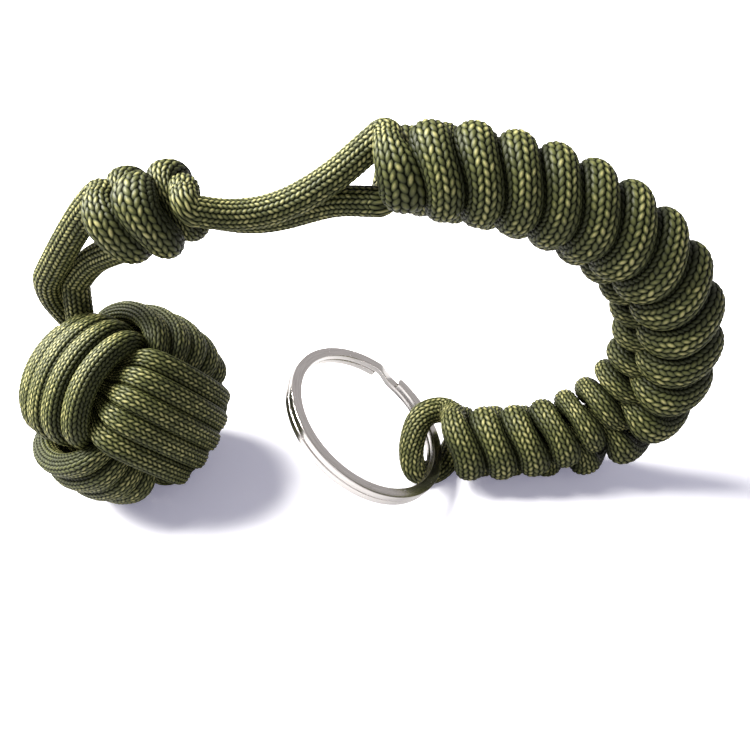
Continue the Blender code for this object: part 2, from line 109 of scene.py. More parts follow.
def placed(name, data):
    """A new object that shows data, put into the scene."""
    made = bpy.data.objects.new(name, data)
    bpy.context.scene.collection.objects.link(made)
    return made


camera_data = bpy.data.cameras.new("camera")
camera_data.lens = 33.6
camera_data.sensor_width = 36.0
camera_data.clip_start = 0.005
camera = placed("camera", camera_data)
camera.location = metres(CAMERA_AT)
camera.rotation_euler = (math.radians(90 - LOOKS_DOWN), 0, 0)
bpy.context.scene.camera = camera
print("camera at", tuple(round(value, 4) for value in camera.location))

# %% [markdown]
# ## A smooth curve through a few points
#
# Cord has no corners: its bend changes steadily. A natural cubic spline has just that property,
# because its second derivative is a chain of straight lines with no steps. The spline is read at
# even steps of length, so that the braid keeps its scale from one end to the other.

# %% a natural cubic spline
FINE = 1201  # points that measure a curve
READ_FINER = 8  # points measured for each one kept


def smooth_curve(points, count):
    """A natural cubic spline through points, read at count even steps of length.

    Between two points, the curve is the blend of the two points and of the two second
    derivatives, which one set of linear equations gives for all points at once.
    """
    p = np.asarray(points, float)
    n = len(p)
    knot = run_length(p)
    h = np.diff(knot)
    left = np.zeros((n, n))
    right = np.zeros(p.shape)
    left[0, 0] = left[-1, -1] = 1
    inner = np.arange(1, n - 1)
    left[inner, inner - 1] = h[:-1]
    left[inner, inner] = 2 * (h[:-1] + h[1:])
    left[inner, inner + 1] = h[1:]
    slope = np.diff(p, axis=0) / h[:, None]
    right[1:-1] = 6 * np.diff(slope, axis=0)
    bend = np.linalg.solve(left, right)
    s = np.linspace(0, knot[-1], count * READ_FINER)
    k = np.clip(np.searchsorted(knot, s, side="right") - 1, 0, n - 2)
    u = (s - knot[k])[:, None]
    v = (knot[k + 1] - s)[:, None]
    hk = h[k][:, None]
    fine = (bend[k] * v ** 3 + bend[k + 1] * u ** 3) / (6 * hk)
    fine += (p[k] / hk - bend[k] * hk / 6) * v + (p[k + 1] / hk - bend[k + 1] * hk / 6) * u
    run = run_length(fine)
    even = np.linspace(0, run[-1], count)
    return np.stack([np.interp(even, run, fine[:, i]) for i in range(p.shape[1])], 1)


def evenly(points, step):
    """A smooth curve through points, read at even steps of about the given length."""
    length = run_length(smooth_curve(points, FINE))[-1]
    return smooth_curve(points, int(round(length / step)) + 1)


arc = smooth_curve([(1, 0, 0), (0.7071, 0.7071, 0), (0, 1, 0)], 50)
print("a quarter circle through three points measures %.3f" % run_length(arc)[-1])

# %% [markdown]
# ## The braid, as a height
#
# In the photograph the sheath shows about eighteen columns round the cord. Each column is a row of
# plump slanted picks, about as long as they are wide, and the next column slants the other way
# and lies half a pick later, like knitting. That is a function of two numbers, the place round
# the cord counted in columns and the place along it counted in picks. The same function raises
# the mesh here and colours it in the material, so that both agree.

# %% picks round and along the cord
COLUMNS = 18  # columns of picks round the cord
AROUND = 72  # mesh points round it
PICK = 0.80  # length of one pick
SLANT = 0.62  # picks by which a column leans from one of its sides to the other
PICK_END = 0.85  # how far a pick's height falls off towards its ends
PICK_MEAN = 0.62  # the height that lies on the tube's own surface,
RELIEF = 0.17  # and how high a whole pick stands, in millimetres


def pick_height(column, along):
    """1 at the middle of a pick and 0 at its rim.

    x runs across a column and y along the pick, both from -0.5 to 0.5; y is shifted by half a
    pick in every second column and leans with x. The height is that of an egg: the root of one
    less (2 x) squared less PICK_END times (2 y) squared.
    """
    odd = np.floor(column) % 2
    x = column % 1 - 0.5
    y = (along + odd / 2 + (1 - 2 * odd) * SLANT * x) % 1 - 0.5
    return np.sqrt(np.maximum(1 - (2 * x) ** 2 - PICK_END * (2 * y) ** 2, 0))


samples = pick_height(*np.meshgrid(np.linspace(0, 4, 80), np.linspace(0, 4, 80)))
print("pick height: least %.2f, mean %.2f, most %.2f"
      % (samples.min(), samples.mean(), samples.max()))

# %% [markdown]
# ## From a route to a braided tube
#
# A tube is a grid: one parameter runs along the route, the other round it. At each station the
# section is a rounded, slightly squared oval, because a cord that is pulled tight is pressed flat
# by its neighbours. The picks push the surface out along the section's own normal. A UV map keeps
# the two braid numbers on every corner, so the material can read them, and a point attribute keeps
# a factor of painted shade for each point: 1 where the cord lies open, less on the sides that
# press against a neighbour, which the material paints darker.

# %% a closed tube from a grid of rings
def tube_mesh(name, rings, columns, along, crease_shade_factor=None):
    """A mesh of quads between rings, and over each end a fan on a rim of its own, so that the
    tube's shading runs on unbroken to the next piece. rings is (stations, around, 3), and the last
    argument the painted crease shade for each of its points, which the mesh keeps as an attribute."""
    stations, around = rings.shape[:2]
    i = np.arange(stations - 1)[:, None]
    j = np.arange(around)[None, :]
    k = (j + 1) % around
    quads = np.stack([i * around + j, i * around + k,
                      (i + 1) * around + k, (i + 1) * around + j], -1).reshape(-1, 4)
    rim = np.arange(around)
    after = (rim + 1) % around
    start, end = stations * around, (stations + 1) * around
    middles = (stations + 2) * around
    fans = np.concatenate([np.stack([np.full(around, middles), start + after, start + rim], -1),
                           np.stack([np.full(around, middles + 1), end + rim, end + after], -1)])
    vertices = np.concatenate([rings.reshape(-1, 3), rings[0], rings[-1], rings[[0, -1]].mean(1)])
    corners = np.concatenate([quads.ravel(), fans.ravel()])
    starts = np.concatenate([np.arange(len(quads)) * 4, len(quads) * 4 + np.arange(len(fans)) * 3])
    mesh = bpy.data.meshes.new(name)
    mesh.vertices.add(len(vertices))
    mesh.vertices.foreach_set("co", metres(vertices).ravel())
    mesh.loops.add(len(corners))
    mesh.loops.foreach_set("vertex_index", corners.astype(np.int32))
    mesh.polygons.add(len(starts))
    mesh.polygons.foreach_set("loop_start", starts.astype(np.int32))
    mesh.update(calc_edges=True)
    step = columns / around
    u_quads = np.stack([j * step, (j + 1) * step, (j + 1) * step, j * step], -1) + 0 * i[..., None]
    v_quads = np.stack([along[i], along[i], along[i + 1], along[i + 1]], -1) + 0 * j[..., None]
    u_fans = np.tile(np.stack([rim + 0.5, rim + 1, rim], -1) * step, (2, 1))
    v_fans = np.repeat(along[[0, -1]], around * 3).reshape(-1, 3)
    uv = np.stack([np.concatenate([u_quads.ravel(), u_fans.ravel()]),
                   np.concatenate([v_quads.ravel(), v_fans.ravel()])], -1)
    mesh.uv_layers.new(name="braid").data.foreach_set("uv", uv.ravel())
    if crease_shade_factor is not None:
        values = np.concatenate([crease_shade_factor.ravel(), crease_shade_factor[0], crease_shade_factor[-1], crease_shade_factor[[0, -1]].mean(1)])
        mesh.attributes.new("crease_shade_factor", "FLOAT", "POINT").data.foreach_set("value", values)
    mesh.shade_smooth()
    return mesh


# %% the braided cord
# painted crease shade on the pressed sides of a cord
CREASE_SHADE_POWER = 1.5  # how narrow a cord's pressed stripes are


def carried_across(points, start):
    """A direction square to the route, carried along it without turning round it: at each step
    it loses what lies along the new direction of travel."""
    travel = rows_unit(np.gradient(points, axis=0))
    across = np.empty_like(points)
    across[0] = unit(start - (start @ travel[0]) * travel[0])
    for i in range(1, len(points)):
        across[i] = unit(across[i - 1] - (across[i - 1] @ travel[i]) * travel[i])
    return across


def braided_cord(name, points, across, half_width, half_depth, square, picks_before=0.0,
                 floor=None, spare=0, pressed=0.0):
    """A braided tube along points, half_width along across and half_depth square to it.

    A section is the curve whose two halves, each divided by its half size and raised to the
    power square, add up to 1. The picks stand RELIEF high on it. Where floor is given, nothing
    reaches below it. The first and last spare points only give the direction at the ends.
    pressed, from 0 to 1, says how much of the cord's two narrow sides lies against neighbours,
    and so how much painted shade darkens them: the point attribute is 1 where the cord lies
    open, less where it is pressed.
    """
    travel = rows_unit(np.gradient(points, axis=0))
    side = rows_unit(across - (across * travel).sum(1)[:, None] * travel)
    out = np.cross(travel, side)
    angle = np.arange(AROUND) * math.tau / AROUND
    c, s = np.cos(angle), np.sin(angle)
    reach = (np.abs(c) ** square + np.abs(s) ** square) ** (-1 / square)
    wide = np.broadcast_to(half_width, len(points))[:, None]
    deep = np.broadcast_to(half_depth, len(points))[:, None]
    normal_c = np.sign(c) * np.abs(c) ** (square - 1) / wide
    normal_s = np.sign(s) * np.abs(s) ** (square - 1) / deep
    length = np.hypot(normal_c, normal_s)
    run = run_length(points)
    along = picks_before + (run - run[spare]) / PICK
    column = np.arange(AROUND) * COLUMNS / AROUND
    lift = RELIEF * (pick_height(column[None, :], along[:, None]) - PICK_MEAN)
    x = wide * c * reach + lift * normal_c / length
    y = deep * s * reach + lift * normal_s / length
    rings = points[:, None] + x[..., None] * side[:, None] + y[..., None] * out[:, None]
    if floor is not None:
        rings[..., 2] = np.maximum(rings[..., 2], floor)
    kept = slice(spare, len(points) - spare)
    # painted shade on the cord's two narrow sides, where they press against neighbours
    stripe = (1 - s ** 2) ** CREASE_SHADE_POWER
    crease_shade_factor = 1 - np.broadcast_to(pressed, len(points))[:, None] * stripe
    made = placed(name, tube_mesh(name, rings[kept], COLUMNS, along[kept], crease_shade_factor[kept]))
    made.data.materials.append(cord_finish)
    made["picks_after"] = float(along[kept][-1])
    return made


# %% [markdown]
# ## The cord's finish
#
# Nylon sheath yarn has a soft sheen, and its colour isn't even: each pick's tone differs a little,
# and slow patches move it. On top of that the colour carries painted light: a painted highlight on
# the crowns of the picks, painted shade in the valleys between them, and painted shade on the
# sides that lie pressed against the next turn. The material reads the two braid numbers from the
# UV map and works out the same pick shape again, finer than the mesh can. A node group puts out
# the pick's height, its filaments' fine stripes and its number.

# %% a small helper for node trees
class Wires:
    """Puts nodes into a tree and joins them, so that a formula reads from left to right."""

    def __init__(self, tree):
        self.tree = tree

    def put(self, kind, inputs=(), **settings):
        """A new node, with values or sockets at the inputs that are given."""
        node = self.tree.nodes.new(kind)
        for key, value in settings.items():
            setattr(node, key, value)
        for index, value in dict(inputs).items():
            self.join(value, node.inputs[index])
        return node

    def join(self, value, socket):
        """Link value to socket where it is a socket itself, or else set it there."""
        if isinstance(value, bpy.types.NodeSocket):
            self.tree.links.new(value, socket)
        else:
            socket.default_value = value

    def math(self, operation, a, b=0.0, c=0.0):
        """One step of arithmetic; MULTIPLY_ADD is a times b plus c."""
        return self.put("ShaderNodeMath", {0: a, 1: b, 2: c}, operation=operation).outputs[0]

    def noise(self, place, scale, detail):
        """Soft noise around 0.5."""
        node = self.put("ShaderNodeTexNoise", {"Vector": place, "Scale": scale, "Detail": detail})
        return node.outputs["Fac"]

    def ramp(self, value, stops):
        """The colour at value, between stops of a place from 0 to 1 and a colour."""
        node = self.put("ShaderNodeValToRGB", {0: value})
        ramp = node.color_ramp
        while len(ramp.elements) < len(stops):
            ramp.elements.new(0.5)
        for element, (place, colour) in zip(ramp.elements, stops):
            element.position = place
            element.color = (*colour, 1)
        return node.outputs["Color"]


def new_finish(name):
    """A new material, with its wires and its shader."""
    made = bpy.data.materials.new(name)
    made.use_nodes = True
    return made, Wires(made.node_tree), made.node_tree.nodes["Principled BSDF"]


# %% the braid's node group
FILAMENTS = 34.0  # how close the filaments' stripes lie across a pick
PICK_NUMBERS = (17.31, 3.77)  # steps per column and per pick, so that neighbours' sums differ

braid_group = bpy.data.node_groups.new("braid_picks", "ShaderNodeTree")
for socket in ("Column", "Along"):
    braid_group.interface.new_socket(socket, in_out="INPUT", socket_type="NodeSocketFloat")
for socket in ("Height", "Filament", "Pick number"):
    braid_group.interface.new_socket(socket, in_out="OUTPUT", socket_type="NodeSocketFloat")

wires = Wires(braid_group)
given = wires.put("NodeGroupInput")
column, along = given.outputs["Column"], given.outputs["Along"]
whole = wires.math("FLOOR", column)
odd = wires.math("FLOORED_MODULO", whole, 2.0)
x = wires.math("SUBTRACT", wires.math("SUBTRACT", column, whole), 0.5)
lean = wires.math("MULTIPLY", x, wires.math("MULTIPLY_ADD", odd, -2 * SLANT, SLANT))
place = wires.math("ADD", wires.math("MULTIPLY_ADD", odd, 0.5, along), lean)
number = wires.math("FLOOR", place)
y = wires.math("SUBTRACT", wires.math("SUBTRACT", place, number), 0.5)


def doubled_square(value, share=1.0):
    """The square of twice the value, times share."""
    return wires.math("MULTIPLY", wires.math("MULTIPLY", value, value), 4.0 * share)


egg = wires.math("SUBTRACT", wires.math("SUBTRACT", 1.0, doubled_square(x)),
                 doubled_square(y, PICK_END))
height = wires.math("SQRT", wires.math("MAXIMUM", egg, 0.0))
stripe = wires.math("MULTIPLY", wires.math("SUBTRACT", x, lean), FILAMENTS)
stripe = wires.math("SINE", stripe)
label = wires.math("MULTIPLY_ADD", whole, PICK_NUMBERS[0],
                   wires.math("MULTIPLY", number, PICK_NUMBERS[1]))
wires.put("NodeGroupOutput", {0: height, 1: stripe, 2: label})
print("the braid's group has", len(braid_group.nodes), "nodes")

# %% olive nylon cord
TONE = (0.75, 0.30)  # how pale the dullest pick's crown is, and how much more others
BLOTCH = 0.36  # how far the slow patches move the tone in all
SHEEN = (0.01, 0.26)  # specular level in the valleys, and how much more on the crowns
FILAMENT_HEIGHT = 0.06  # against a whole pick's
# the cord's olive, from painted shade in the valleys up to a painted highlight on the crowns
CORD_SHADE_TO_HIGHLIGHT = [(0.0, (0.004, 0.005, 0.002)), (0.40, (0.026, 0.030, 0.009)),
                (0.75, (0.080, 0.085, 0.025)), (1.0, (0.330, 0.305, 0.125))]

cord_finish, wires, shader = new_finish("olive_nylon_braid")
shader.inputs["Roughness"].default_value = 0.5
braid_uv = wires.put("ShaderNodeUVMap", uv_map="braid")
parts = wires.put("ShaderNodeSeparateXYZ", {0: braid_uv.outputs["UV"]})
picks = wires.put("ShaderNodeGroup", node_tree=braid_group)
wires.join(parts.outputs["X"], picks.inputs["Column"])
wires.join(parts.outputs["Y"], picks.inputs["Along"])
object_place = wires.put("ShaderNodeTexCoord").outputs["Object"]
patches = wires.noise(object_place, 260.0, 3.0)
per_pick = wires.put("ShaderNodeTexWhiteNoise", {"W": picks.outputs["Pick number"]},
                     noise_dimensions="1D").outputs["Value"]
# the painted crease shade, kept on the mesh's points
crease_shade_factor = wires.put("ShaderNodeAttribute", attribute_name="crease_shade_factor").outputs["Fac"]
pick_tone = wires.math("MULTIPLY_ADD", per_pick, TONE[1], TONE[0])
tone_with_crease_shade = wires.math("MULTIPLY", crease_shade_factor, pick_tone)
blotches = wires.math("MULTIPLY_ADD", patches, BLOTCH, -BLOTCH / 2)
# the pick's height lifts the colour along the ramp: painted shade in its valleys, a painted
# highlight on its crown
shade = wires.math("MULTIPLY_ADD", picks.outputs["Height"], tone_with_crease_shade, blotches)
wires.join(wires.ramp(shade, CORD_SHADE_TO_HIGHLIGHT), shader.inputs["Base Color"])
wires.join(wires.math("MULTIPLY_ADD", picks.outputs["Height"], SHEEN[1], SHEEN[0]),
           shader.inputs["Specular IOR Level"])
filament = wires.math("MULTIPLY_ADD", picks.outputs["Filament"], FILAMENT_HEIGHT,
                      picks.outputs["Height"])
bump = wires.put("ShaderNodeBump", {"Height": filament, "Strength": 0.6, "Distance": 0.00013})
wires.join(bump.outputs["Normal"], shader.inputs["Normal"])
print("cord finish has", len(cord_finish.node_tree.nodes), "nodes")

# %% [markdown]
# ## The snake knot
#
# The sinnet is two right-handed coils side by side, each hooked through the other's turns. Pulled
# tight, each turn shows on the outside as one broad rounded band, wide in the middle and narrow
# where it dips under the other strand. The arch's middle line comes first: a curve in the XZ
# plane, with its direction and its bend at every distance along it.

# %% a knot's middle line
FRONT = np.array([0.0, -1.0, 0.0])


class MiddleLine:
    """The middle line of a snake knot, drawn in the upright plane Y = behind."""

    def __init__(self, points, behind):
        self.points = smooth_curve(points, FINE)
        self.behind = behind
        self.run = run_length(self.points)
        self.length = self.run[-1]
        self.heading = np.unwrap(np.arctan2(*np.gradient(self.points, axis=0).T[::-1]))
        self.curve = -np.gradient(self.heading, self.run)

    def at(self, t):
        """Point, direction of travel, outward normal and curvature at distances t along it."""
        x = np.interp(t, self.run, self.points[:, 0])
        z = np.interp(t, self.run, self.points[:, 1])
        heading = np.interp(t, self.run, self.heading)
        none = np.zeros_like(t)
        direction = np.stack([np.cos(heading), none, np.sin(heading)], -1)
        outward = np.stack([-np.sin(heading), none, np.cos(heading)], -1)
        beyond = np.minimum(t, 0) + np.maximum(t - self.length, 0)
        point = np.stack([x, none + self.behind, z], -1) + beyond[:, None] * direction
        return point, direction, outward, np.interp(t, self.run, self.curve)


ARCH = MiddleLine([(-2.0, 56.0), (10.5, 55.3), (23.0, 52.0), (34.2, 46.0), (41.9, 37.6),
                   (44.9, 27.6), (43.0, 17.3), (36.2, 10.2), (26.5, 7.5), (15.6, 6.9),
                   (11.0, 6.8)], 0.0)
STOPPER = MiddleLine([(-37.0, 48.2), (-33.4, 49.2), (-29.8, 49.9), (-27.0, 50.1),
                      (-24.6, 50.0), (-22.6, 49.9)], 0.6)
print("the sinnet's line is %.1f mm long, the stopper knot's %.1f" % (ARCH.length, STOPPER.length))

# %% [markdown]
# A strand's middle runs round an oval that lies off the knot's middle. As the strand goes round,
# it climbs by one pitch. Two sine terms change that climb: one lets a turn hurry at its sides, the
# other pulls the two ends of each outer band apart, which slants it. The sinnet's pair of coils
# also turns about the arch on its right side, so that the seam between them, which faces away at
# the neck, comes to the front before the ring. The pitch isn't even: a smooth curve through six
# counted turns tells how far along the arch each turn lies.

# %% the sinnet's and the stopper knot's numbers
COIL_OFFSET = 2.4  # from the knot's middle to the middle of one strand's turns
COIL_REACH = 3.9  # half width of a turn
COIL_HEIGHT = 4.5  # half height of a turn
TURNS_LAID = [(0, 2.2), (2.5, 14.8), (5, 27.5), (9, 50.7), (14, 78.8), (19, 105.5)]
LAID = smooth_curve(TURNS_LAID, FINE)
LAID_PITCH = np.gradient(LAID[:, 1], LAID[:, 0])
SINNET_HURRY = 0.22  # how far a turn runs ahead of an even climb at its sides,
SINNET_LEAN = 0.75  # and how far its ends are pulled apart, which slants the bands
FACING = (24.0, 140.0)  # degrees from the front to the arch's outside: neck end, ring end
TWIST = (0.55, 0.35)  # share of the arch where that changes, and over how much
COIL_SIZE = (1.0, 0.95)  # the coils' size: neck end, ring end
SLIMS = (0.3, 0.6)  # share of the arch where that changes, and over how much
FIRST_SLIM = 0.26  # how much smaller still the first turn is,
FIRST_GROWTH = (0.6, 1.2)  # the turn where it starts to grow, and over how many turns
FIRST_TURN = {1: 0.34, -1: 0.36}  # where the two strands come in from the neck
LAST_TURN = {1: 18.36, -1: 18.72}  # and where they leave for the ring's bight
BEND_KNOTS = ((5.5, 7.5), (12.5, 14.5))  # turns that give when the arch opens or closes
STOPPER_PITCH = 5.2
STOPPER_FACING = 5.0
STOPPER_SIZE = 0.86  # the coils' size at its middle turn,
STOPPER_TAPER = 0.14  # how much less one turn away from there,
STOPPER_MIDST = 1.2  # and that middle turn
STOPPER_HURRY = 0.3
STOPPER_LEAN = (0.30, 0.28)  # at its start, and how much more a turn on
STOPPER_FADE = (1.6, 0.5)  # from which turn it fades, and over how many
STOPPER_FIRST = {1: 0.28, -1: 0.36}
STOPPER_LAST = {1: 2.3, -1: 2.3}
print("the sinnet's pitch runs from %.1f to %.1f mm" % (LAID_PITCH.min(), LAID_PITCH.max()))


# %% one strand of a snake knot
def rising(x, start, span):
    """0 up to start, 1 from start plus span on, and eased between."""
    return eased((x - start) / span)


def coil(line, side, turn, laid, facing, size, hurry, lean):
    """Middle of one strand of a snake knot at each turn, with the direction of the knot there and
    how much the line's bend stretches the pitch there.

    The angle is a full circle a turn. Along the line, the strand lies at laid, plus size times
    hurry times the angle's sine, plus size times lean times the doubled angle's sine. Across it,
    it lies on an oval. Side -1 is side 1 turned half round the line.
    """
    angle = math.tau * turn
    t = laid + size * (hurry * np.sin(angle) + lean * np.sin(2 * angle))
    centre, direction, outward, bend = line.at(t)
    cosine, sine = np.cos(np.radians(facing))[..., None], np.sin(np.radians(facing))[..., None]
    wide = cosine * FRONT + sine * outward
    high = cosine * outward - sine * FRONT
    across = side * (size * (COIL_OFFSET - COIL_REACH * np.cos(angle)))[:, None] * wide
    offset = across + side * (size * COIL_HEIGHT * np.sin(angle))[:, None] * high
    return centre + offset, direction, 1 + bend * (offset * outward).sum(-1)


def sinnet_middle(side, turn):
    """The sinnet's coil, and its pitch at each turn."""
    laid = np.interp(turn, LAID[:, 0], LAID[:, 1])
    share = laid / ARCH.length
    facing = FACING[0] + (FACING[1] - FACING[0]) * rising(share, *TWIST)
    size = COIL_SIZE[0] + (COIL_SIZE[1] - COIL_SIZE[0]) * rising(share, *SLIMS)
    size = size * (1 - FIRST_SLIM * (1 - rising(turn, *FIRST_GROWTH)))
    made = coil(ARCH, side, turn, laid, facing, size, SINNET_HURRY, SINNET_LEAN)
    return *made, np.interp(turn, LAID[:, 0], LAID_PITCH)


def stopper_middle(side, turn):
    """The stopper knot's coil, and its pitch at each turn."""
    lean = (1 - rising(turn, *STOPPER_FADE)) * (STOPPER_LEAN[0] + STOPPER_LEAN[1] * turn)
    size = STOPPER_SIZE - STOPPER_TAPER * (turn - STOPPER_MIDST) ** 2
    made = coil(STOPPER, side, turn, STOPPER_PITCH * turn, STOPPER_FACING, size, STOPPER_HURRY,
                lean)
    return *made, STOPPER_PITCH


# %% [markdown]
# The cord gives way where it is pressed. On the outside of a turn it spreads until it meets the
# next turn, whose distance follows from the pitch, the arch's bend and the strand's own slant.
# Where the strands hook each other it is squeezed narrow. lobe is 1 on the outside and 0 at the
# hook: half of one less the cosine of the angle, drawn a little fuller and eased.

# %% the cord along a snake knot
CORD = 3.9  # the free cord's thickness
TURN_STATIONS = 134  # rings of mesh points in one turn
SPARE = 2  # rings past each end, which only give its direction
LEAD = 0.22  # turns over which the cord flattens after its round free ends
LOBE_SHARE = 1.15  # how soon the outside of a turn reaches its full width
LOBE_ROOM = (0.32, 0.185)  # half width per pitch: at the hook, and how much more outside
LOBE_WIDTH = (1.3, 1.5)  # most half width in millimetres, in the same two parts,
LOBE_DEPTH = (1.5, 0.75)  # and half depth
FIRST_FADE = (0.4, 0.5)  # turns after the start from which the first turn narrows again
KNOT_SQUARE = 2.1  # 2 is an oval, more is squarer
# how much painted shade darkens the pressed sides of the knots' turns
KNOT_CREASE_SHADE = 0.75


def knot_piece(name, middle, side, first, last, ends, plump=1.0, first_plump=0.0,
               picks_before=0.0):
    """A braided strand of a snake knot from turn first to turn last, and round again at the
    turns in ends.

    Half width and half depth are a first part plus lobe times a second, and the width is no
    more than the room to the next turn. plump makes both larger, and the first turn, with no
    neighbour before it, spreads by first_plump more.
    """
    step = 1 / TURN_STATIONS
    count = int((last - first) / step) + 1
    turn = first + (last - first) * np.arange(-SPARE, count + SPARE + 1) / count
    points, direction, stretch, pitch = middle(side, turn)
    travel = rows_unit(np.gradient(points, axis=0))
    level = np.sqrt(1 - (travel * direction).sum(1) ** 2)
    lobe = eased((0.5 - 0.5 * np.cos(math.tau * turn)) * LOBE_SHARE)
    room = pitch * stretch * level * (LOBE_ROOM[0] + LOBE_ROOM[1] * lobe)
    spread = first_plump * (1 - rising(turn - ends[0], *FIRST_FADE))
    width = (plump + spread) * np.minimum(LOBE_WIDTH[0] + LOBE_WIDTH[1] * lobe, room)
    depth = (plump + spread / 2) * (LOBE_DEPTH[0] + LOBE_DEPTH[1] * lobe)
    flat = eased(np.minimum(turn - ends[0], ends[1] - turn) / LEAD)
    width = CORD / 2 * (1 - flat) + width * flat
    depth = CORD / 2 * (1 - flat) + depth * flat
    return braided_cord(name, points, direction, width, depth, KNOT_SQUARE, picks_before,
                        floor=0.0, spare=SPARE, pressed=KNOT_CREASE_SHADE * flat)


# %% the ten pieces of the sinnet
SINNET_FIRST_PLUMP = 0.35
SINNET_PARTS = ("upper", "upper_bend", "middle", "lower_bend", "lower")
SINNET_BODIES = {"upper": "upper_run", "middle": "middle_run", "lower": "lower_run"}
sinnet = {}
for strand, side in (("front", 1), ("back", -1)):
    cuts = [FIRST_TURN[side], *BEND_KNOTS[0], *BEND_KNOTS[1], LAST_TURN[side]]
    picks_so_far = 0.0
    for part, first, last in zip(SINNET_PARTS, cuts, cuts[1:]):
        piece = knot_piece("cord_" + part + "_" + strand, sinnet_middle, side, first, last,
                           (cuts[0], cuts[-1]), first_plump=SINNET_FIRST_PLUMP,
                           picks_before=picks_so_far)
        picks_so_far = piece["picks_after"]
        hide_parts("sinnet_" + part + "_" + strand)
        sinnet[part, strand] = piece
    print(strand, "strand of the sinnet: %.0f picks, %.0f mm"
          % (picks_so_far, picks_so_far * PICK))


for strand in ("front", "back"):
    for part, body in SINNET_BODIES.items():
        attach(sinnet[part, strand], body)
    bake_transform(sinnet["upper_bend", strand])
    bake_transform(sinnet["lower_bend", strand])

# %% [markdown]
# ## The ball
#
# A monkey fist is three bands, each of five passes, square to each other like the strips round a
# parcel. Each band runs over one neighbour and under the other. A pass is therefore a circle
# whose radius steps between an outer and an inner value four times round: the step is a
# hyperbolic tangent of the cosine of twice the angle, which dives quickly at the band's edge and
# stays level between. The photograph shows three of the six faces; their directions were read
# from it with the fitted camera.

# %% the directions of the ball's faces
FIST_CENTRE = np.array([-40.6, 0.4, 15.67])
TOP = unit((0.421, 0.706, 0.570))
LEFT = np.array([-0.497, -0.346, 0.795])
LEFT = unit(LEFT - (LEFT @ TOP) * TOP)
RIGHT = np.cross(TOP, LEFT)
print("top, left and right faces look along", TOP.round(2), LEFT.round(2), RIGHT.round(2))

# %% one band of the ball
PASSES = 5  # strands side by side in each of the three bands
PASS_PITCH = 3.45
PASS_SQUEEZE = 0.62  # how much closer they lie where they run under a band
OVER_RADIUS = 14.85  # of a strand's middle, over the other band
UNDER_RADIUS = 10.75  # and under it
OVER_HALF = (1.79, 1.76)  # half width and half depth of the cord
UNDER_HALF = (0.95, 1.1)
DIVE = 3.5  # how steeply a strand dives at the band's edge
PASS_STEP = (0.52, 0.46)  # where in a loop it steps to the next place, and over how much
FIST_SQUARE = 3.0
# how much painted shade darkens the pressed sides of the ball's strands
FIST_CREASE_SHADE = 0.4
LOOP_STATIONS = 300  # rings of mesh points in one loop


def fist_band(over, under, across, corner, sense, side, trim):
    """Middle line, flat direction and half sizes of one band.

    The angle runs from over towards under, in the way of sense, and its loops are counted from
    corner; trim is what is left off at the two ends. Outer, between 0 and 1, says how far a pass
    is over the neighbour: half of one plus the hyperbolic tangent of DIVE times the cosine of
    the doubled angle. The sideways shift is the pass's place in the band, squeezed where it is
    under, and it steps to the next place while out of sight.
    """
    turns = PASSES - 0.5
    first, last = corner + sense * trim[0], corner + sense * (360 * turns - trim[1])
    degrees = np.linspace(first, last, int(abs(last - first) / 360 * LOOP_STATIONS) + 1)
    done = np.abs(degrees - corner) / 360
    place = np.clip(np.floor(done) + rising(done % 1, *PASS_STEP), 0, PASSES - 1)
    angle = np.radians(degrees)
    outer = 0.5 + 0.5 * np.tanh(DIVE * np.cos(2 * angle))
    radius = UNDER_RADIUS + (OVER_RADIUS - UNDER_RADIUS) * outer
    pitch = PASS_PITCH * (PASS_SQUEEZE + (1 - PASS_SQUEEZE) * outer)
    shift = side * ((PASSES - 1) / 2 - place) * pitch
    flat = np.sqrt(radius ** 2 - shift ** 2)[:, None]
    points = flat * (np.cos(angle)[:, None] * over + np.sin(angle)[:, None] * under)
    points = points + shift[:, None] * across + FIST_CENTRE
    width = UNDER_HALF[0] + (OVER_HALF[0] - UNDER_HALF[0]) * outer
    depth = UNDER_HALF[1] + (OVER_HALF[1] - UNDER_HALF[1]) * outer
    return points, np.broadcast_to(across, points.shape), width, depth


# %% the three bands
FIST_BANDS = {  # over, under, across, corner, sense, side and trim, in degrees
    "left_band": (LEFT, TOP, RIGHT, 45, -1, -1, (22, 20)),
    "right_band": (RIGHT, LEFT, TOP, -45, 1, -1, (12, 22)),
    "top_band": (TOP, RIGHT, LEFT, -45, 1, 1, (-12, 25)),
}
for name, facts in FIST_BANDS.items():
    points, across, width, depth = fist_band(*facts)
    band = braided_cord("fist_" + name, points, across, width, depth, FIST_SQUARE, floor=0.0,
                        pressed=FIST_CREASE_SHADE)
    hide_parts("fist_winding")
    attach(band, "fist")
    print(name, "is", round(run_length(points)[-1]), "mm of cord")

# %% [markdown]
# ## The stopper knot and the necks
#
# Between the ball and the sinnet, the two strands are tied into a small tight knot: it is the
# same snake knot again, two turns long, larger in its middle. The free stretches on both sides
# of it can't be a formula: each is a list of places where the strand was seen, joined by the
# spline. Then they are eased apart: where one comes closer than a cord's thickness to another
# strand, it is pushed away, while its own stiffness keeps it smooth. The knot is held still.

